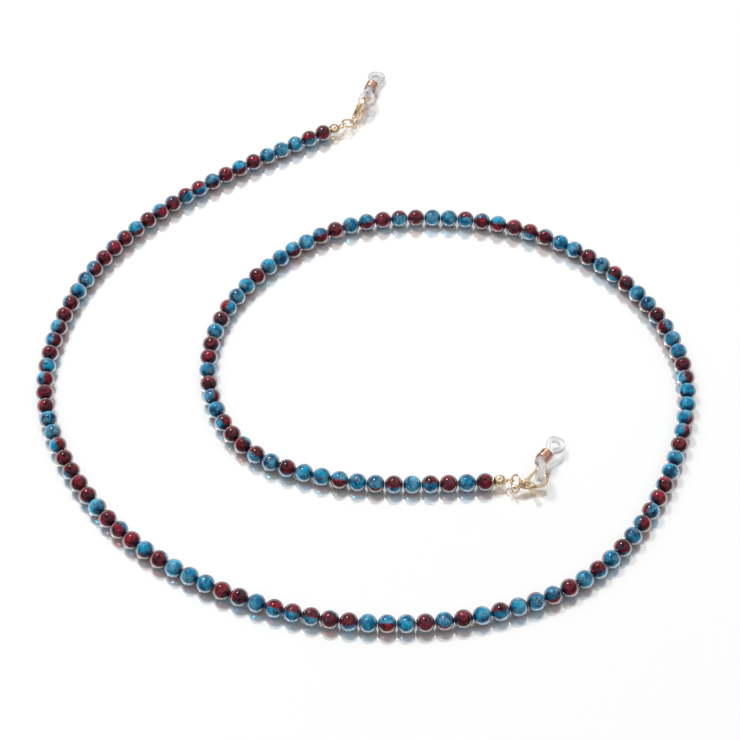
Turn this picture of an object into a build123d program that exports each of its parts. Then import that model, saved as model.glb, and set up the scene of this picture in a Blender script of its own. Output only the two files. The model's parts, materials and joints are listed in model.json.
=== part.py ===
from build123d import *
import os
from math import cos, pi, radians, sin, tan

# A beaded eyeglass chain: 144 round beads on one stringing wire, laid in an open spiral, with the
# same set of findings at each end: a clamshell bead tip closed over a crimp, a jump ring, a lobster
# clasp, and a silicone temple loop with a sliding coil. End A is the outer end, end B the inner one.
# Millimetres. The table is z = 0 and the beads lie on it.

# ---- driving dimensions ----
BEAD_COUNT = 144
BEAD_DIAMETER = 6.0
BEAD_PITCH = 5.88
BEAD_LENGTH = 5.74            # between the small flats around the hole
BEAD_HOLE = 1.2
BEADS_PER_GROUP = 4
LOOSE_BEADS = 2               # beads at each end that are bodies of their own
AXIS_Z = BEAD_DIAMETER / 2

WIRE_DIAMETER = 0.45

TIP_DIAMETER = 4.4            # the clamshell's domes, seen face on
TIP_HEIGHT = 3.2
TIP_WALL = 0.35
TIP_GAP = 0.15                # from the last bead's flat to the shell
LOOP_RADIUS = 1.15            # wire centre line of the bead tip's loop
LOOP_WIRE = 0.3               # wire radius
LOOP_CENTRE = TIP_DIAMETER / 2 + 1.2    # from the shell's centre
RIM_TRIM = 0.97               # the shell's flat rim, as a share of its dome's radius
SHELL_SEAM = 0.1              # the hairline where the shell folds shut
WIRE_HOLE = 0.45              # radius of the shell's hole for the wire
DIMPLE_RADIUS = 0.72
DIMPLE_RISE = 0.6             # from the shell's crown to the dimple's centre
CRIMP_RADIUS = 0.8
CRIMP_LENGTH = 1.7
PRESS = 0.02                  # how far a pressed fit bites

RING_RADIUS = 2.15            # jump ring 5.0 mm over all, 0.7 mm wire
RING_WIRE = 0.35
RING_CUT = 0.05               # the closed cut in the jump ring
RING_CUT_AT = 205             # where it is, in degrees round from the bead tip
LINK_GAP = 0.12               # daylight between two links that hang together

EYE_RADIUS = 1.1              # the clasp's eye, wire centre line
EYE_WIRE = 0.35
HOOK_CENTRE = 8.3             # from the eye's centre, along the clasp
HOOK_OUTER = 3.3
HOOK_INNER = 2.35
CLASP_THICKNESS = 2.0
NOSE_ANGLE = 62               # where the hook ends, seen from its centre
ROOT_ANGLE = 205              # where it runs into the housing
HOUSING = [(2.1, 0, 0.6), (3.7, 0.05, 1.75), (6.1, -1.95, 0.75)]    # round corners: x, y, radius
SHANK_LENGTH = 1.0            # between the eye and the housing
LEVER_THICKNESS = 0.8
SLOT_WIDTH = 1.0
SLOT_START = 2.4
SLOT_END = 6.3
LEAF = 0.15                   # the spring's thickness, and its gap to the hub
SPRING_OPEN = (-150, 120)     # where there is no leaf, in degrees round the pin
PIN_RADIUS = 0.4
PIN_AT = (4.1, -0.3)
HUB_RADIUS = 1.0
GATE_ELBOW = (5.3, 1.25)
GATE_END = (8.5, 2.47)        # a swinging gate has to pass inside the hook's nose
GATE_WIDTH = 0.76
THUMB_ROOT = (4.25, -0.9, 0.8)          # the tab's round corners: x, y, radius
THUMB_ELBOW = (5.5, -3.2, 0.45)
THUMB_END = (4.8, -4.0, 0.4)
PIN_PLAY = 0.05

STRAND = 2.0                  # silicone section across
EYE_OUTER = 3.2               # outer radius of both silicone eyes
EYE_HOLE = 1.25
EYE_ROOT = 1.2                # where an eye's outline runs into the neck
EYE_TAPER = 0.35              # radius of the hole's narrow end, and how the outline narrows
LOWER_WIDTH = 1.9             # the lower hole is this much longer than round, and
LOWER_REACH = 4.2             # its narrow end is this far from its centre
UPPER_WIDTH = -0.6
UPPER_REACH = -2.9
NECK_RADIUS = 1.62
NECK_LENGTH = 6.4
COIL_WIRE = 0.6
COIL_TURNS = 8
COIL_INNER = 1.7
COIL_PRESS = 0.93             # each turn's pitch, as a share of its wire
NECK_START = 8.0              # from the end strand of the clasp eye
NECK_LAP = 0.4                # how far the neck runs into the lower eye
TEMPLE_EYE = 10.6             # from the neck's start to the temple eye's centre
TEMPLE_HOLE = 1.5

# The wire's route, corner by corner, from inside tip A to inside tip B.
ROUTE = [
    (-11, 96), (-30, 85), (-53, 70), (-76, 51), (-95, 26), (-106, -4), (-108, -36), (-96, -66),
    (-77, -92), (-50, -111), (-19, -123), (13, -126), (43, -121), (70, -109), (90, -85),
    (103, -55), (108.5, -25), (100, 5), (79, 31), (50, 47), (17, 50.5), (-12, 45), (-38, 23),
    (-53, -4), (-53, -35), (-38, -60), (-9, -70), (19, -71.5), (44, -69.5),
]


# ---- the wire's route ----
def corner_radii(points):
    """The largest arc each corner's two runs allow."""
    radii = []
    for before, corner, after in zip(points, points[1:], points[2:]):
        into = Vector(*corner) - Vector(*before)
        out = Vector(*after) - Vector(*corner)
        turn = radians(into.get_angle(out))
        radii.append(0.45 * min(into.length, out.length) / tan(turn / 2))
    return radii


def wire_path():
    points = [(x, y, AXIS_Z) for x, y in ROUTE]
    radii = corner_radii(points)
    print("corner radii", [round(r) for r in radii])
    return FilletPolyline(*points, radius=radii)


# ---- beads ----
def bead():
    """A round bead with its hole along Z and a small flat at each mouth."""
    ball = Sphere(BEAD_DIAMETER / 2) & Cylinder(BEAD_DIAMETER, BEAD_LENGTH)
    return ball - Cylinder(BEAD_HOLE / 2, BEAD_DIAMETER * 2)


def bead_places(path):
    """Every bead's place on the wire, centred between the two tips, hole along the wire."""
    row = (BEAD_COUNT - 1) * BEAD_PITCH
    first = (path.length - row) / 2
    places = []
    for i in range(BEAD_COUNT):
        at = (first + i * BEAD_PITCH) / path.length
        places.append(Plane(origin=path @ at, z_dir=path % at).location)
    return places


# ---- vectors for the findings ----
def heading(angle, pitch=0.0):
    """A unit vector at a compass angle from +X and a pitch above the table, in degrees."""
    a = radians(angle)
    p = radians(pitch)
    return Vector(cos(a) * cos(p), sin(a) * cos(p), sin(p))


def in_plane(vector, normal):
    """The unit vector nearest to one vector and square to another."""
    return (vector - normal * vector.dot(normal)).normalized()


def frame(origin, along, normal):
    """A plane with X along one vector and Z as near as it can be to the other."""
    return Plane(origin=origin, x_dir=along, z_dir=in_plane(normal, along))


# ---- findings, each in its own frame ----
def lens(radius, half_height):
    """Two shallow domes face to face, round in plan, with a narrow flat rim."""
    ball = (radius ** 2 + half_height ** 2) / (2 * half_height)
    drop = ball - half_height
    rim = Cylinder(RIM_TRIM * radius, 4 * half_height)
    return Pos(0, 0, drop) * Sphere(ball) & Pos(0, 0, -drop) * Sphere(ball) & rim


def bead_tip():
    """The folded clamshell, centred on the origin, its loop towards +X in the XZ plane."""
    radius = TIP_DIAMETER / 2
    half = TIP_HEIGHT / 2
    shell = lens(radius, half) - lens(radius - TIP_WALL, half - TIP_WALL)
    shell -= Cylinder(2 * radius, SHELL_SEAM) - Cylinder(RIM_TRIM * radius - SHELL_SEAM, SHELL_SEAM)
    shell -= Pos(-radius, 0, 0) * Rot(0, 90, 0) * Cylinder(WIRE_HOLE, radius)
    for side in (1, -1):
        shell -= Pos(0, 0, side * (half + DIMPLE_RISE)) * Sphere(DIMPLE_RADIUS)
    return shell + Pos(LOOP_CENTRE, 0, 0) * Rot(90, 0, 0) * Torus(LOOP_RADIUS, LOOP_WIRE)


def crimp_tube():
    """The squeezed tube that ends the wire, its outer end at the origin, along -X."""
    bore = Cylinder(WIRE_DIAMETER / 2 - PRESS, CRIMP_LENGTH)
    tube = Rot(0, 90, 0) * (Cylinder(CRIMP_RADIUS, CRIMP_LENGTH) - bore)
    return Pos(-CRIMP_LENGTH / 2, 0, 0) * tube


def jump_ring():
    """A round wire ring with its cut closed to a hairline."""
    ring = Torus(RING_RADIUS, RING_WIRE)
    cut = Pos(RING_RADIUS, 0, 0) * Box(4 * RING_WIRE, RING_CUT, 4 * RING_WIRE)
    return ring - Rot(0, 0, RING_CUT_AT) * cut


def wedge(start, end, reach):
    """A flat fan between two angles, for cutting an arc out of a ring."""
    corners = [(0, 0)]
    steps = 3
    for k in range(steps + 1):
        a = radians(start + (end - start) * k / steps)
        corners.append((reach * cos(a), reach * sin(a)))
    return make_face(Polyline(*corners, close=True))


def disc(x, y, radius):
    return Pos(x, y) * Circle(radius)


def hull(*corners):
    """The flat outline of a band drawn tight round some discs, each given as x, y and radius."""
    discs = Sketch()
    for corner in corners:
        discs += disc(*corner)
    return make_hull(discs.edges())


def rims(plate):
    """The edges round a flat plate's top and bottom faces."""
    faces = plate.faces().sort_by(Axis.Z)
    return faces[0].edges() + faces[-1].edges()


def clasp_body():
    """The cast hook: eye at the origin, hook towards +X, open side towards +Y."""
    hook = disc(HOOK_CENTRE, 0, HOOK_OUTER) - disc(HOOK_CENTRE, 0, HOOK_INNER)
    hook -= Pos(HOOK_CENTRE, 0) * wedge(NOSE_ANGLE, ROOT_ANGLE, 2 * HOOK_OUTER)
    middle = (HOOK_OUTER + HOOK_INNER) / 2
    nose = radians(NOSE_ANGLE)
    hook += disc(HOOK_CENTRE + middle * cos(nose), middle * sin(nose), middle - HOOK_INNER)
    housing = hull(*HOUSING)
    outline = housing - disc(HOOK_CENTRE, 0, HOOK_INNER) + hook
    cast = extrude(outline, CLASP_THICKNESS / 2, both=True)
    slot = Box(SLOT_END - SLOT_START, 4 * HOOK_OUTER, SLOT_WIDTH)
    cast -= Pos((SLOT_START + SLOT_END) / 2, 0, 0) * slot
    cast -= Pos(*PIN_AT, 0) * Cylinder(PIN_RADIUS - PRESS, 2 * CLASP_THICKNESS)
    shank = Rot(0, 90, 0) * Cylinder(1.2 * EYE_WIRE, SHANK_LENGTH)
    shank = Pos(EYE_RADIUS + SHANK_LENGTH / 2, 0, 0) * shank
    return cast + shank + Torus(EYE_RADIUS, EYE_WIRE)


def clasp_lever():
    """The gate and its thumb tab, in one bell crank on the pin, gate shut."""
    elbow = (*GATE_ELBOW, 0.72 * GATE_WIDTH)
    outline = disc(*PIN_AT, HUB_RADIUS)
    outline += hull((*PIN_AT, 0.9 * HUB_RADIUS), elbow)
    outline += hull(elbow, (*GATE_END, GATE_WIDTH / 2))
    outline += hull(THUMB_ROOT, THUMB_ELBOW, THUMB_END)
    lever = extrude(outline, LEVER_THICKNESS / 2, both=True)
    return lever - Pos(*PIN_AT, 0) * Cylinder(PIN_RADIUS + PIN_PLAY, CLASP_THICKNESS)


def clasp_pin():
    """The rivet through both cheeks, flush with them."""
    return Pos(*PIN_AT, 0) * Cylinder(PIN_RADIUS, CLASP_THICKNESS)


def clasp_spring():
    """The bent leaf behind the lever's hub, drawn with the gate shut."""
    inner = HUB_RADIUS + LEAF
    arc = Circle(inner + LEAF) - Circle(inner) - wedge(*SPRING_OPEN, 3 * HUB_RADIUS)
    tail = Pos(-inner - 1.5 * LEAF, 0) * Rectangle(3 * LEAF, LEAF)
    return extrude(Pos(*PIN_AT) * (arc + tail), SLOT_WIDTH / 4, both=True)


def silicone_eye(centre, wide_to, neck_at, hole, hole_end):
    """A flat ring in the XY plane, drawn out along X to the neck, with rounded rims."""
    outside = hull((centre, 0, EYE_OUTER), (wide_to, 0, EYE_OUTER - EYE_TAPER), (neck_at, 0, EYE_ROOT))
    inside = hull((centre, 0, hole), (wide_to, 0, hole), (hole_end, 0, EYE_TAPER))
    return fillet(rims(extrude(outside - inside, STRAND / 2, both=True)), STRAND / 4)


def lower_eye():
    """The eye the clasp hooks through. Its end strand is centred on the origin."""
    centre = EYE_OUTER - STRAND / 2
    narrow = centre + LOWER_REACH
    return silicone_eye(centre, centre + LOWER_WIDTH, NECK_START - EYE_ROOT, EYE_HOLE, narrow)


def upper_eye():
    """The eye that grips a temple, with its outer end towards +X of the neck."""
    narrow = TEMPLE_EYE + UPPER_REACH
    return silicone_eye(TEMPLE_EYE, TEMPLE_EYE + UPPER_WIDTH, NECK_LENGTH, TEMPLE_HOLE, narrow)


def neck():
    return Pos(NECK_LENGTH / 2, 0, 0) * Rot(0, 90, 0) * Cylinder(NECK_RADIUS, NECK_LENGTH)


def loop_coil():
    """The sliding coil around the neck, centred on the origin along X."""
    pitch = COIL_PRESS * COIL_WIRE
    rim = COIL_INNER + COIL_WIRE / 2
    section = Pos(0, COIL_INNER + COIL_WIRE / 4) * Rectangle(pitch * (COIL_TURNS - 1), COIL_WIRE / 2)
    for turn in range(COIL_TURNS):
        section += disc((turn - (COIL_TURNS - 1) / 2) * pitch, rim, COIL_WIRE / 2)
    return revolve(section, Axis.X)


# ---- the two ends ----
# Each end's findings hang from its bead tip link by link. All angles are in degrees: a heading is
# turned from +X, a pitch rises from the table, a roll or lean turns about the piece's own length.
ENDS = {
    "a": dict(
        wire_end=0,
        tip_roll=0, loop_turn=0,
        ring_out=heading(38, -8), ring_normal=heading(38, 82), eye_out=heading(46, -8),
        clasp_along=heading(60, 5), clasp_normal=heading(150, 0),
        hook_turn=-9, hook_seat=2.6, loop_along=heading(82, -3), loop_normal=heading(82, 87),
        neck_along=heading(74, -11), temple_up=heading(0, 90),
    ),
    "b": dict(
        wire_end=-1,
        tip_roll=55, loop_turn=45,
        ring_out=heading(-45, 35), ring_normal=heading(204, 27), eye_out=heading(-93, -41),
        clasp_along=heading(24, 12), clasp_normal=heading(-75, 45),
        hook_turn=52, hook_seat=3.7, loop_along=heading(104, -12), loop_normal=heading(177, 15),
        neck_along=heading(56, -10), temple_up=heading(-100, 70),
    ),
}


def tip_centre(path, end):
    """The shell's centre and the outward direction of the wire at one end."""
    at, outward = (path @ 0, path % 0 * -1) if end["wire_end"] == 0 else (path @ 1, path % 1)
    spare = (path.length - (BEAD_COUNT - 1) * BEAD_PITCH) / 2
    from_bead = BEAD_LENGTH / 2 + TIP_GAP + TIP_DIAMETER / 2
    return at, at - outward * (spare - from_bead), outward


def end_findings(path, end):
    """One end's nine pieces, placed, and the axes that its moving pieces turn about."""
    wire_end, centre, outward = tip_centre(path, end)
    up = Vector(0, 0, 1).rotate(Axis((0, 0, 0), outward), end["tip_roll"])
    tip = frame(centre, outward, up)
    crimp = frame(wire_end, outward, up)
    turn = radians(end["loop_turn"])
    loop_out = tip.x_dir * cos(turn) + tip.z_dir * sin(turn)
    loop_wire = centre + outward * LOOP_CENTRE + loop_out * LOOP_RADIUS

    touch = RING_RADIUS - RING_WIRE
    ring_out = end["ring_out"]
    ring = frame(loop_wire + ring_out * (touch - LOOP_WIRE - LINK_GAP), ring_out, end["ring_normal"])
    eye_out = in_plane(end["eye_out"], ring.z_dir)
    eye_wire = ring.origin + eye_out * (touch - EYE_WIRE - LINK_GAP)

    along = end["clasp_along"]
    normal = in_plane(end["clasp_normal"], along)
    eye_in = in_plane(eye_out, normal)
    clasp = frame(eye_wire + eye_in * EYE_RADIUS, along, normal)
    turn = radians(end["hook_turn"])
    middle = (HOOK_OUTER + HOOK_INNER) / 2
    grip = clasp.from_local_coords(Vector(HOOK_CENTRE + middle * cos(turn), middle * sin(turn), 0))
    loop_along = in_plane(end["loop_along"], end["loop_normal"])
    loop = frame(grip - loop_along * end["hook_seat"], loop_along, end["loop_normal"])
    neck_start = loop.from_local_coords(Vector(NECK_START - NECK_LAP, 0, 0))
    stem = frame(neck_start, end["neck_along"], end["temple_up"])
    coil = frame(stem.from_local_coords(Vector(NECK_LENGTH / 2, 0, 0)), end["neck_along"], end["temple_up"])

    silicone = loop.location * lower_eye() + stem.location * (neck() + upper_eye())
    silicone += Pos(neck_start) * Sphere(NECK_RADIUS)
    pieces = {
        "crimp_tube": crimp.location * crimp_tube(),
        "bead_tip": tip.location * bead_tip(),
        "jump_ring": ring.location * jump_ring(),
        "clasp_body": clasp.location * clasp_body(),
        "clasp_lever": clasp.location * clasp_lever(),
        "clasp_pin": clasp.location * clasp_pin(),
        "clasp_spring": clasp.location * clasp_spring(),
        "silicone_loop": silicone,
        "loop_coil": coil.location * loop_coil(),
    }
    axes = {
        "ring_swing": (loop_wire, tip.y_dir.cross(loop_out)),
        "clasp_swing": (eye_wire, normal.cross(eye_in)),
        "lever_press": (clasp.from_local_coords(Vector(*PIN_AT, 0)), normal),
        "loop_swing": (grip, loop.z_dir),
        "coil_slide": (coil.origin, coil.x_dir),
        "temple_eye": (stem.from_local_coords(Vector(TEMPLE_EYE, 0, 0)), stem.z_dir),
    }
    return pieces, axes


# ---- build and write every node ----
def bead_nodes(path):
    """Beads by node: the outermost ones alone, and the rest in short runs."""
    places = bead_places(path)
    inner = range(LOOSE_BEADS, BEAD_COUNT - LOOSE_BEADS, BEADS_PER_GROUP)
    starts = [*range(LOOSE_BEADS), *inner, *range(BEAD_COUNT - LOOSE_BEADS, BEAD_COUNT)]
    nodes = {}
    for first, after in zip(starts, [*starts[1:], BEAD_COUNT]):
        beads = [place * bead() for place in places[first:after]]
        name = f"bead_{first + 1:03}"
        if len(beads) > 1:
            name = f"beads_{first + 1:03}_to_{after:03}"
        nodes[name] = Compound(children=beads)
    return nodes


def build():
    path = wire_path()
    nodes = {"stringing_wire": sweep((path ^ 0) * Circle(WIRE_DIAMETER / 2), path=path)}
    nodes.update(bead_nodes(path))
    axes = {}
    for side, end in ENDS.items():
        pieces, end_axes = end_findings(path, end)
        nodes.update({f"{name}_{side}": solid for name, solid in pieces.items()})
        axes.update({f"{name}_{side}": axis for name, axis in end_axes.items()})
    section = pi * (WIRE_DIAMETER / 2) ** 2
    wire = nodes["stringing_wire"]
    print(f"wire {path.length:.1f} mm, volume {wire.volume:.2f} against {section * path.length:.2f}")
    return nodes, axes, path


nodes, axes, path = build()
os.makedirs("parts", exist_ok=True)
for name, solid in nodes.items():
    solid.label = name
    export_step(solid, f"parts/{name}.step")
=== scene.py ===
import json
import math

import bmesh
import bpy
from mathutils import Matrix, Vector
from mathutils.kdtree import KDTree


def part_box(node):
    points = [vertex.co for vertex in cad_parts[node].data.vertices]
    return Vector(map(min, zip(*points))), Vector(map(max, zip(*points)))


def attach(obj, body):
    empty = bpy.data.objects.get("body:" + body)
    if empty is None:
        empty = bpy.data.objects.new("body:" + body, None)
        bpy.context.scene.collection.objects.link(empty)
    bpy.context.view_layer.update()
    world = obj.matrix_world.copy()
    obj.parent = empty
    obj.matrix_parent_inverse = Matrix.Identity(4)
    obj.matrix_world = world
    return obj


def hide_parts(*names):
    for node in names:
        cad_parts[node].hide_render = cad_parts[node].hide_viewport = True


# A beaded eyeglass chain laid in an open spiral. Two-tone glass beads are threaded on a wire, and
# each end has a bead tip, a jump ring, a lobster clasp and a silicone temple loop with a coil.
# Metres throughout. End "a" is the outer end and end "b" the inner one.

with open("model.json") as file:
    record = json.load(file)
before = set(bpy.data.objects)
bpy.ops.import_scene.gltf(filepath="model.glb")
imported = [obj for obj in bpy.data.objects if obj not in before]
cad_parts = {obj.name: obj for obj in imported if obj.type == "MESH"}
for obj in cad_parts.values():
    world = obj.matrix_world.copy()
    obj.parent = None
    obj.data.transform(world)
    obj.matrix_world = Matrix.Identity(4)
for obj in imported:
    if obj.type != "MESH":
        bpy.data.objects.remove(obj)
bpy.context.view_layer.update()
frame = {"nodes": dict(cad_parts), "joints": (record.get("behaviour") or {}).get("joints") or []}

MM = 0.001

# ---- sizes, as in the part's source ----
BEAD_COUNT = 144
BEAD_PITCH = 5.88 * MM
BEAD_RADIUS = 3.0 * MM
BEAD_HALF_LENGTH = 2.87 * MM
BORE_RADIUS = 0.6 * MM
BEADS_PER_GROUP = 4
LOOSE_BEADS = 2
AXIS_Z = 3.0 * MM
WIRE_DIAMETER = 0.45 * MM
COIL_WIRE = 0.6 * MM
COIL_TURNS = 8
COIL_INNER = 1.7 * MM
COIL_PRESS = 0.93             # each turn's pitch, as a share of its wire

# ---- shapes that only the visible meshes have ----
BORE_LIP = 0.12 * MM          # the bevel at a bead's hole
BORE_RING = 0.6 * MM          # from the flat to the first ring inside the hole
BEAD_STEPS = 22
BEAD_SIDES = 40
COIL_THINNING = 0.74          # the drawn wire, as a share of the real one, to part the turns
COIL_STEPS = 40               # points in each turn
DOME_TOP = 1.0 * MM           # half the cast clasp's thickness
DOME_EDGE = 0.58 * MM         # half its thickness at the outline
DOME_REACH = 1.3 * MM         # from the outline to the full crown
WALL_SLANT = 0.3              # how far a wall's normal may lean out of the clasp's plane
SOFTENING = {                 # voxel size and rounds of smoothing
    "silicone_loop": (0.14 * MM, 14),
    "clasp_body": (0.07 * MM, 12),
    "clasp_lever": (0.05 * MM, 4),
    "bead_tip": (0.06 * MM, 3),
}

# ---- camera and light ----
SENSOR = 36
LENS = 112.74
CAMERA_AT = (0.0013, -0.531, 0.5896)
CAMERA_TILT = 40.94           # degrees from straight down
TABLE_REACH = 3.0
KEY_AT = (-0.45, 0.55, 1.3)
KEY_SIZE = (0.26, 0.26)
KEY_WATTS = 12
OVERHEAD_AT = (0.0, 0.25, 1.7)
OVERHEAD_SIZE = (1.6, 1.2)
OVERHEAD_WATTS = 6
STUDIO_STRENGTH = 0.84
STUDIO_BANDS = [              # (height of the direction, brightness)
    (0.0, 0.75), (0.22, 0.3), (0.5, 0.22), (0.6, 1.1), (0.9, 1.1), (0.97, 0.35),
]

# ---- the glass's colours, by the cloud's density ----
GARNET = [(0.34, (0.02, 0.0, 0.003)), (0.52, (0.16, 0.001, 0.008)), (0.7, (0.46, 0.006, 0.03))]
TEAL = [(0.34, (0.0, 0.02, 0.08)), (0.5, (0.0, 0.19, 0.4)), (0.66, (0.0, 0.48, 0.78))]
CRACK_COLOUR = (0.42, 0.86, 1.0)
# Painted shade: near black, mixed into the glass towards each bead's flat ends by its rim value.
PAINTED_END_SHADE_COLOUR = (0.004, 0.004, 0.012)

# The wire's route, corner by corner, from inside tip a to inside tip b, in millimetres.
ROUTE = [
    (-11, 96), (-30, 85), (-53, 70), (-76, 51), (-95, 26), (-106, -4), (-108, -36), (-96, -66),
    (-77, -92), (-50, -111), (-19, -123), (13, -126), (43, -121), (70, -109), (90, -85),
    (103, -55), (108.5, -25), (100, 5), (79, 31), (50, 47), (17, 50.5), (-12, 45), (-38, 23),
    (-53, -4), (-53, -35), (-38, -60), (-9, -70), (19, -71.5), (44, -69.5),
]

# How each bead lies, in order from end a: R or B, one colour on top; T, garnet on the far side;
# U, blue on the far side; L, blue to the left; M, garnet to the left.
BEAD_TURNS = (
    "RTBBBRURUT" "TLLRULLRLB" "MLRLLRMLRR" "BBLRTRTBRM" "RURBBBRTBT" "TTRTBUBRUR" "BTBBURBTBT"
    "BLMRRBBRLL" "BBLRBBMTUB" "MTBRBBMTRU" "UTBBRTRUBR" "UBUBBRBBMR" "BRRBRLBLRM" "TBTBBUBUTB"
    "TRBR"
)


# ---- camera, floor and light ----
def make_camera():
    """The photograph's view: from in front and above, through a long lens."""
    data = bpy.data.cameras.new("camera")
    data.sensor_width = SENSOR
    data.lens = LENS
    data.clip_start = 0.05
    data.clip_end = 20
    camera = bpy.data.objects.new("camera", data)
    camera.location = CAMERA_AT
    camera.rotation_euler = (math.radians(CAMERA_TILT), 0, 0)
    bpy.context.scene.collection.objects.link(camera)
    bpy.context.scene.camera = camera


def area_light(name, location, size, power, mirrored=True):
    """A rectangular light aimed at the middle of the object."""
    data = bpy.data.lights.new(name, "AREA")
    data.shape = "RECTANGLE"
    data.size, data.size_y = size
    data.energy = power
    light = bpy.data.objects.new(name, data)
    light.location = location
    aim = Vector((0, 0, 0)) - Vector(location)
    light.rotation_euler = aim.to_track_quat("-Z", "Y").to_euler()
    light.visible_glossy = mirrored
    bpy.context.scene.collection.objects.link(light)


def make_stage():
    """A white table that half mirrors what lies on it, under studio light."""
    mesh = bpy.data.meshes.new("floor")
    corners = [(x * TABLE_REACH, y * TABLE_REACH, 0) for x, y in ((-1, -1), (1, -1), (1, 1), (-1, 1))]
    mesh.from_pydata(corners, [], [(0, 1, 2, 3)])
    floor = bpy.data.objects.new("floor", mesh)
    bpy.context.scene.collection.objects.link(floor)
    material, _, _, shader = new_material("floor")
    shader.inputs["Base Color"].default_value = (0.93, 0.93, 0.93, 1)
    shader.inputs["Metallic"].default_value = 0.5
    shader.inputs["Roughness"].default_value = 0.07
    floor.data.materials.append(material)
    make_studio()
    bpy.context.scene.view_settings.view_transform = "Standard"
    area_light("key", KEY_AT, KEY_SIZE, KEY_WATTS)
    area_light("overhead", OVERHEAD_AT, OVERHEAD_SIZE, OVERHEAD_WATTS, mirrored=False)


def make_studio():
    """Walls of light: a bright band high up, darker ones above and below it for metal to mirror."""
    world = bpy.data.worlds.new("studio")
    world.use_nodes = True
    nodes = world.node_tree.nodes
    links = world.node_tree.links
    height = nodes.new("ShaderNodeSeparateXYZ")
    links.new(nodes.new("ShaderNodeTexCoord").outputs["Generated"], height.inputs[0])
    walls = ramp(nodes, [(at, (light,) * 3) for at, light in STUDIO_BANDS])
    links.new(height.outputs["Z"], walls.inputs["Fac"])
    background = nodes["Background"]
    links.new(walls.outputs["Color"], background.inputs["Color"])
    background.inputs["Strength"].default_value = STUDIO_STRENGTH
    bpy.context.scene.world = world


# ---- materials ----
def new_material(name):
    """A node material: the material, its nodes, its links and its shader."""
    material = bpy.data.materials.new(name)
    material.use_nodes = True
    nodes = material.node_tree.nodes
    return material, nodes, material.node_tree.links, nodes["Principled BSDF"]


def ramp(nodes, stops):
    """A colour ramp with the given (position, colour) stops."""
    node = nodes.new("ShaderNodeValToRGB")
    band = node.color_ramp
    while len(band.elements) < len(stops):
        band.elements.new(0.5)
    for element, (position, colour) in zip(band.elements, stops):
        element.position = position
        element.color = (*colour, 1)
    return node


def mix(nodes, links, factor, first, second):
    """A colour mix. Each input is a socket or an RGB colour; the factor is a socket."""
    node = nodes.new("ShaderNodeMix")
    node.data_type = "RGBA"
    links.new(factor, node.inputs["Factor"])
    for socket, value in ((node.inputs["A"], first), (node.inputs["B"], second)):
        if isinstance(value, tuple):
            socket.default_value = (*value, 1)
        else:
            links.new(value, socket)
    return node.outputs["Result"]


def noise(nodes, links, vector, scale, detail=3.0):
    node = nodes.new("ShaderNodeTexNoise")
    node.inputs["Scale"].default_value = scale
    node.inputs["Detail"].default_value = detail
    links.new(vector, node.inputs["Vector"])
    return node.outputs["Fac"]


def arithmetic(nodes, links, operation, first, second, clamp=False):
    node = nodes.new("ShaderNodeMath")
    node.operation = operation
    node.use_clamp = clamp
    for socket, value in zip(node.inputs, (first, second)):
        if isinstance(value, (int, float)):
            socket.default_value = value
        else:
            links.new(value, socket)
    return node.outputs[0]


def bump(nodes, links, shader, height, strength, distance):
    node = nodes.new("ShaderNodeBump")
    node.inputs["Strength"].default_value = strength
    node.inputs["Distance"].default_value = distance
    links.new(height, node.inputs["Height"])
    links.new(node.outputs["Normal"], shader.inputs["Normal"])


def object_coordinates(nodes):
    return nodes.new("ShaderNodeTexCoord").outputs["Object"]


def scaled(nodes, links, value, factor, offset, clamp=False):
    """A value times a factor, plus an offset."""
    result = arithmetic(nodes, links, "MULTIPLY_ADD", value, factor, clamp)
    result.node.inputs[2].default_value = offset
    return result


def mesh_value(nodes, name):
    """A value that the mesh carries at each point."""
    node = nodes.new("ShaderNodeAttribute")
    node.attribute_name = name
    return node.outputs["Fac"]


def tinted(nodes, links, density, stops):
    """A colour from a ramp over a density."""
    node = ramp(nodes, stops)
    links.new(density, node.inputs["Fac"])
    return node.outputs["Color"]


def blue_share(nodes, links, wander):
    """0 in the garnet half and 1 in the blue one, with a wandering edge between them."""
    uneven = scaled(nodes, links, wander, 0.5, -0.25)
    edge = arithmetic(nodes, links, "ADD", mesh_value(nodes, "split"), uneven)
    return scaled(nodes, links, edge, 3.2, 0.5, clamp=True)


def crackle(nodes, links, place, wander, blue):
    """Fine bright cracks, in patches, and mostly in the blue half."""
    cells = nodes.new("ShaderNodeTexVoronoi")
    cells.feature = "DISTANCE_TO_EDGE"
    cells.inputs["Scale"].default_value = 1700
    bent = nodes.new("ShaderNodeVectorMath")
    links.new(place, bent.inputs[0])
    links.new(mix(nodes, links, wander, (0.0, 0.0, 0.0), (0.0012, 0.0012, 0.0012)), bent.inputs[1])
    links.new(bent.outputs["Vector"], cells.inputs["Vector"])
    lines = [(0.0, (1, 1, 1)), (0.06, (0.4, 0.4, 0.4)), (0.14, (0, 0, 0))]
    vein = tinted(nodes, links, cells.outputs["Distance"], lines)
    patch = tinted(nodes, links, noise(nodes, links, place, 330, 1.0), [(0.45, (0, 0, 0)), (0.6, (1, 1, 1))])
    glint = arithmetic(nodes, links, "MULTIPLY", vein, patch)
    return arithmetic(nodes, links, "MULTIPLY", glint, scaled(nodes, links, blue, 0.8, 0.08))


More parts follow.
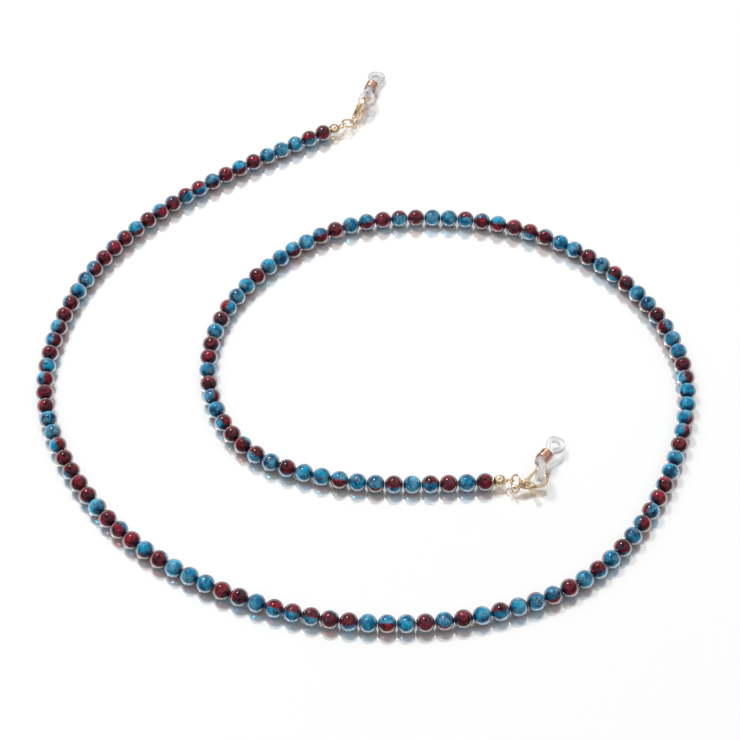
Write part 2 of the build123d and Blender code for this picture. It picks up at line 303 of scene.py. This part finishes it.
def bead_glass():
    """Crackled glass: garnet on one side of the hole and teal blue on the other.

    The mesh carries each point's place in its own bead: split runs from -1 in the garnet half to 1
    in the blue half, and rim from 0 at the crown to nearly 1 at the hole. Towards the hole the glass
    is painted darker, near black at the flat ends: painted shade for the dark rims and for the
    shade where the beads meet."""
    material, nodes, links, shader = new_material("bead_glass")
    place = object_coordinates(nodes)
    wander = noise(nodes, links, place, 260)
    cloud = noise(nodes, links, place, 420)
    blue = blue_share(nodes, links, wander)
    garnet = tinted(nodes, links, cloud, GARNET)
    tint = mix(nodes, links, blue, garnet, tinted(nodes, links, cloud, TEAL))
    sparkle = crackle(nodes, links, place, wander, blue)
    cracked = mix(nodes, links, sparkle, tint, CRACK_COLOUR)
    # Painted shade: towards each bead's hole ends the glass is darkened to near black, by its rim value.
    end_shade_stops = [(0.0, (0, 0, 0)), (0.6, (0.1, 0.1, 0.1)), (0.95, (0.85, 0.85, 0.85))]
    mouth = tinted(nodes, links, mesh_value(nodes, "rim"), end_shade_stops)
    end_shaded_tint = mix(nodes, links, mouth, cracked, PAINTED_END_SHADE_COLOUR)
    links.new(end_shaded_tint, shader.inputs["Base Color"])
    shader.inputs["Roughness"].default_value = 0.03
    shader.inputs["IOR"].default_value = 1.28
    shader.inputs["Specular IOR Level"].default_value = 1.0
    shader.inputs["Transmission Weight"].default_value = 0.4
    bump(nodes, links, shader, cloud, 0.12, 0.0002)
    return material


def polished_metal(name, colour, deep, roughness):
    """Plated or drawn metal with fine wear and a slightly uneven polish."""
    material, nodes, links, shader = new_material(name)
    place = object_coordinates(nodes)
    wear = noise(nodes, links, place, 900, 5.0)
    tone = tinted(nodes, links, wear, [(0.3, deep), (0.62, colour)])
    links.new(tone, shader.inputs["Base Color"])
    shader.inputs["Metallic"].default_value = 1.0
    rubbed = [(0.35, (roughness,) * 3), (0.75, (roughness + 0.14,) * 3)]
    polish = tinted(nodes, links, noise(nodes, links, place, 2400, 4.0), rubbed)
    links.new(polish, shader.inputs["Roughness"])
    bump(nodes, links, shader, wear, 0.08, 0.00006)
    return material


def milky_silicone():
    """Clear, slightly milky silicone with a satin skin."""
    material, nodes, links, shader = new_material("silicone")
    place = object_coordinates(nodes)
    cloud = noise(nodes, links, place, 300)
    tone = tinted(nodes, links, cloud, [(0.3, (0.93, 0.92, 0.93)), (0.7, (0.99, 0.98, 0.98))])
    links.new(tone, shader.inputs["Base Color"])
    shader.inputs["Roughness"].default_value = 0.2
    shader.inputs["IOR"].default_value = 1.41
    shader.inputs["Transmission Weight"].default_value = 0.7
    shader.inputs["Subsurface Weight"].default_value = 0.2
    shader.inputs["Subsurface Radius"].default_value = (0.0012, 0.0012, 0.0014)
    shader.inputs["Coat Weight"].default_value = 0.25
    shader.inputs["Coat Roughness"].default_value = 0.15
    bump(nodes, links, shader, noise(nodes, links, place, 1500), 0.1, 0.00005)
    return material


# ---- the wire ----
def make_wire(metal):
    """The stringing wire: one NURBS line through the route's control points."""
    data = bpy.data.curves.new("stringing_wire_line", "CURVE")
    data.dimensions = "3D"
    data.resolution_u = 24
    data.bevel_depth = WIRE_DIAMETER / 2
    data.bevel_resolution = 4
    data.use_fill_caps = True
    spline = data.splines.new("NURBS")
    spline.points.add(len(ROUTE) - 1)
    for point, (x, y) in zip(spline.points, ROUTE):
        point.co = (x * MM, y * MM, AXIS_Z, 1)
    spline.order_u = 3
    spline.use_endpoint_u = True
    data.materials.append(metal)
    wire = bpy.data.objects.new("wire", data)
    bpy.context.scene.collection.objects.link(wire)
    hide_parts("stringing_wire")
    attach(wire, "strand")
    return wire


def line_points(curve):
    """The points of a curve's own line, read with no bevel."""
    bare = curve.copy()
    bare.data = curve.data.copy()
    bare.data.bevel_depth = 0
    bare.parent = None
    mesh = bpy.data.meshes.new_from_object(bare)
    points = [v.co.copy() for v in mesh.vertices]
    bpy.data.meshes.remove(mesh)
    bpy.data.objects.remove(bare)
    return points


def places_along(points, count, pitch):
    """Evenly spaced (point, direction) pairs, centred on a line."""
    lengths = [0.0]
    for before, after in zip(points, points[1:]):
        lengths.append(lengths[-1] + (after - before).length)
    first = (lengths[-1] - (count - 1) * pitch) / 2
    places = []
    k = 0
    for i in range(count):
        at = first + i * pitch
        while k < len(points) - 2 and lengths[k + 1] < at:
            k += 1
        step = points[k + 1] - points[k]
        share = (at - lengths[k]) / step.length
        places.append((points[k] + step * share, step.normalized()))
    return places


# ---- beads ----
def bead_profile():
    """Half a bead's section as (along, out), from one mouth over the crown to the other."""
    mouth = math.sqrt(BEAD_RADIUS ** 2 - BEAD_HALF_LENGTH ** 2)
    top = math.acos(BEAD_HALF_LENGTH / BEAD_RADIUS)
    profile = [(-BEAD_HALF_LENGTH + BORE_RING, BORE_RADIUS)]
    profile.append((-BEAD_HALF_LENGTH + BORE_LIP, BORE_RADIUS))
    profile.append((-BEAD_HALF_LENGTH, BORE_RADIUS + BORE_LIP))
    profile.append((-BEAD_HALF_LENGTH, 0.5 * (mouth + BORE_RADIUS + BORE_LIP)))
    for k in range(BEAD_STEPS + 1):
        a = math.pi - top - (math.pi - 2 * top) * k / BEAD_STEPS
        profile.append((BEAD_RADIUS * math.cos(a), BEAD_RADIUS * math.sin(a)))
    return profile + [(-x, r) for x, r in reversed(profile[:4])]


def add_bead(bm, layers, centre, along, blue_side, profile):
    """One lathed bead, bored along its hole, with its split and rim values.

    Its faces wind inwards, so the normals point into the glass. That is a known fault: the glass
    was tuned with it, so turning the faces round needs the glass tuned again."""
    side = along.cross(blue_side).normalized()
    up = side.cross(along).normalized()
    rings = []
    for x, r in profile:
        ring = []
        for k in range(BEAD_SIDES):
            a = 2 * math.pi * k / BEAD_SIDES
            out = up * math.cos(a) + side * math.sin(a)
            vert = bm.verts.new(centre + along * x + out * r)
            vert[layers["split"]] = r * math.cos(a) / BEAD_RADIUS
            vert[layers["rim"]] = abs(x) / BEAD_RADIUS
            ring.append(vert)
        rings.append(ring)
    rings.append(rings[0])
    for near, far in zip(rings, rings[1:]):
        for k in range(BEAD_SIDES):
            face = bm.faces.new((near[k], near[k - 1], far[k - 1], far[k]))
            face.smooth = True


def blue_direction(letter, along, jitter):
    """Where a bead's blue half faces, square to its hole, turned a little by the jitter."""
    up = Vector((0, 0, 1))
    facing = Vector((0, -0.655, 0.755))     # towards the camera, where the letters were read from
    far = Vector((0, 0.755, 0.655))
    right = Vector((1, 0, 0))
    toward = {"R": -facing, "B": facing, "T": -far, "U": far, "L": -right, "M": right}[letter]
    across = toward - along * toward.dot(along)
    if across.length < 0.35:
        across = up - along * up.dot(along)
    return across.normalized().lerp(along.cross(across).normalized(), jitter).normalized()


def make_beads(glass, points):
    """One piece for each bead node, each bead lathed on the wire's line.

    The line is 1 mm shorter than the part's wire, so the outermost beads stand 0.5 mm nearer to
    the bead tips than the part's do, and cut into them."""
    places = places_along(points, BEAD_COUNT, BEAD_PITCH)
    profile = bead_profile()
    inner = range(LOOSE_BEADS, BEAD_COUNT - LOOSE_BEADS, BEADS_PER_GROUP)
    starts = [*range(LOOSE_BEADS), *inner, *range(BEAD_COUNT - LOOSE_BEADS, BEAD_COUNT)]
    for first, after in zip(starts, [*starts[1:], BEAD_COUNT]):
        node = f"bead_{first + 1:03}"
        body = f"{node}_body"
        if after - first > 1:
            node = f"beads_{first + 1:03}_to_{after:03}"
            body = "strand"
        bm = bmesh.new()
        layers = {name: bm.verts.layers.float.new(name) for name in ("split", "rim")}
        for i in range(first, after):
            centre, along = places[i]
            jitter = 0.35 * math.sin(5.1 * i + 0.7)
            toward = blue_direction(BEAD_TURNS[i], along, jitter)
            add_bead(bm, layers, centre, along, toward, profile)
        mesh = bpy.data.meshes.new(f"glass_{node}")
        bm.to_mesh(mesh)
        bm.free()
        mesh.materials.append(glass)
        piece = bpy.data.objects.new(f"glass_{node}", mesh)
        bpy.context.scene.collection.objects.link(piece)
        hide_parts(node)
        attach(piece, body)


# ---- findings ----
def joint_named(name):
    return next(joint for joint in frame["joints"] if joint["name"] == name)


def coil_points(place):
    """The coil's centreline, in its place."""
    rim = COIL_INNER + COIL_WIRE / 2
    pitch = COIL_PRESS * COIL_WIRE
    turns = COIL_TURNS - 1
    count = turns * COIL_STEPS
    points = []
    for k in range(count + 1):
        a = 2 * math.pi * k / COIL_STEPS
        x = (k / count - 0.5) * turns * pitch
        points.append(place @ Vector((rim * math.cos(a), rim * math.sin(a), x)))
    return points


def make_coils(metal):
    """Each sliding coil as one close-wound wire, around the axis that it slides along."""
    for end in "ab":
        along = Vector(joint_named(f"coil_slide_{end}")["axis"]).normalized()
        low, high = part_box(f"loop_coil_{end}")
        turn = Vector((0, 0, 1)).rotation_difference(along).to_matrix().to_4x4()
        points = coil_points(Matrix.Translation((low + high) / 2) @ turn)
        data = bpy.data.curves.new(f"coil_wire_{end}", "CURVE")
        data.dimensions = "3D"
        data.bevel_depth = COIL_THINNING * COIL_WIRE / 2
        data.bevel_resolution = 5
        data.use_fill_caps = True
        spline = data.splines.new("POLY")
        spline.points.add(len(points) - 1)
        for point, spot in zip(spline.points, points):
            point.co = (*spot, 1)
        data.materials.append(metal)
        coil = bpy.data.objects.new(f"coil_{end}", data)
        bpy.context.scene.collection.objects.link(coil)
        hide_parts(f"loop_coil_{end}")
        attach(coil, f"loop_coil_{end}_body")


def softened(kind, end, name, body, material):
    """A copy of a CAD node remeshed and smoothed, as cast or moulded edges are."""
    node = f"{kind}_{end}"
    voxel, rounds = SOFTENING[kind]
    mesh = frame["nodes"][node].data.copy()
    mesh.name = f"{name}_{end}"
    piece = bpy.data.objects.new(f"{name}_{end}", mesh)
    bpy.context.scene.collection.objects.link(piece)
    remesh = piece.modifiers.new("remesh", "REMESH")
    remesh.mode = "VOXEL"
    remesh.voxel_size = voxel
    smooth = piece.modifiers.new("smooth", "SMOOTH")
    smooth.factor = 0.5
    smooth.iterations = rounds
    depsgraph = bpy.context.evaluated_depsgraph_get()
    final = bpy.data.meshes.new_from_object(piece.evaluated_get(depsgraph))
    piece.modifiers.clear()
    piece.data = final
    final.materials.clear()
    final.materials.append(material)
    for polygon in final.polygons:
        polygon.use_smooth = True
    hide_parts(node)
    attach(piece, body)
    return piece


def dome(piece, end):
    """Crowns the flat faces of a cast clasp, from its outline up to its middle."""
    joint = joint_named(f"lever_press_{end}")
    middle = Vector(joint["pos_m"])
    normal = Vector(joint["axis"]).normalized()
    vertices = piece.data.vertices
    walls = [v.co for v in vertices if abs(v.normal.dot(normal)) < WALL_SLANT]
    tree = KDTree(len(walls))
    for k, wall in enumerate(walls):
        tree.insert(wall - normal * (wall - middle).dot(normal), k)
    tree.balance()
    crowned = []
    for v in vertices:
        height = (v.co - middle).dot(normal)
        foot = v.co - normal * height
        inside = min(tree.find(foot)[2] / DOME_REACH, 1)
        limit = DOME_EDGE + (DOME_TOP - DOME_EDGE) * math.sqrt(1 - (1 - inside) ** 2)
        crowned.append(foot + normal * max(-limit, min(limit, height)))
    for v, place in zip(vertices, crowned):
        v.co = place


def make_findings(gold, steel, silicone):
    """The pieces beyond the beads at each end, except the coils."""
    for end in "ab":
        softened(
            "silicone_loop", end, "soft_loop", f"silicone_loop_{end}_body", silicone,
        )
        clasp = softened("clasp_body", end, "cast_clasp", f"clasp_{end}_body", gold)
        dome(clasp, end)
        softened("clasp_lever", end, "cast_lever", f"clasp_lever_{end}_body", gold)
        softened("bead_tip", end, "folded_tip", "strand", gold)
        for node in (f"jump_ring_{end}", f"clasp_pin_{end}"):
            paint(node, gold)
        for node in (f"clasp_spring_{end}", f"crimp_tube_{end}"):
            paint(node, steel)


def paint(node, material):
    """Gives a kept CAD node its finish."""
    piece = frame["nodes"][node]
    piece.data.materials.clear()
    piece.data.materials.append(material)
    for polygon in piece.data.polygons:
        polygon.material_index = 0


def make_object():
    gold = polished_metal("gold_plate", (0.95, 0.76, 0.52), (0.84, 0.6, 0.38), 0.13)
    rose = polished_metal("rose_gold_wire", (0.86, 0.56, 0.44), (0.66, 0.37, 0.27), 0.18)
    steel = polished_metal("spring_steel", (0.66, 0.64, 0.6), (0.45, 0.43, 0.4), 0.3)
    bright = polished_metal("stringing_wire", (0.75, 0.76, 0.78), (0.55, 0.56, 0.58), 0.22)
    wire = make_wire(bright)
    make_beads(bead_glass(), line_points(wire))
    make_coils(rose)
    make_findings(gold, steel, milky_silicone())


make_camera()
make_stage()
make_object()
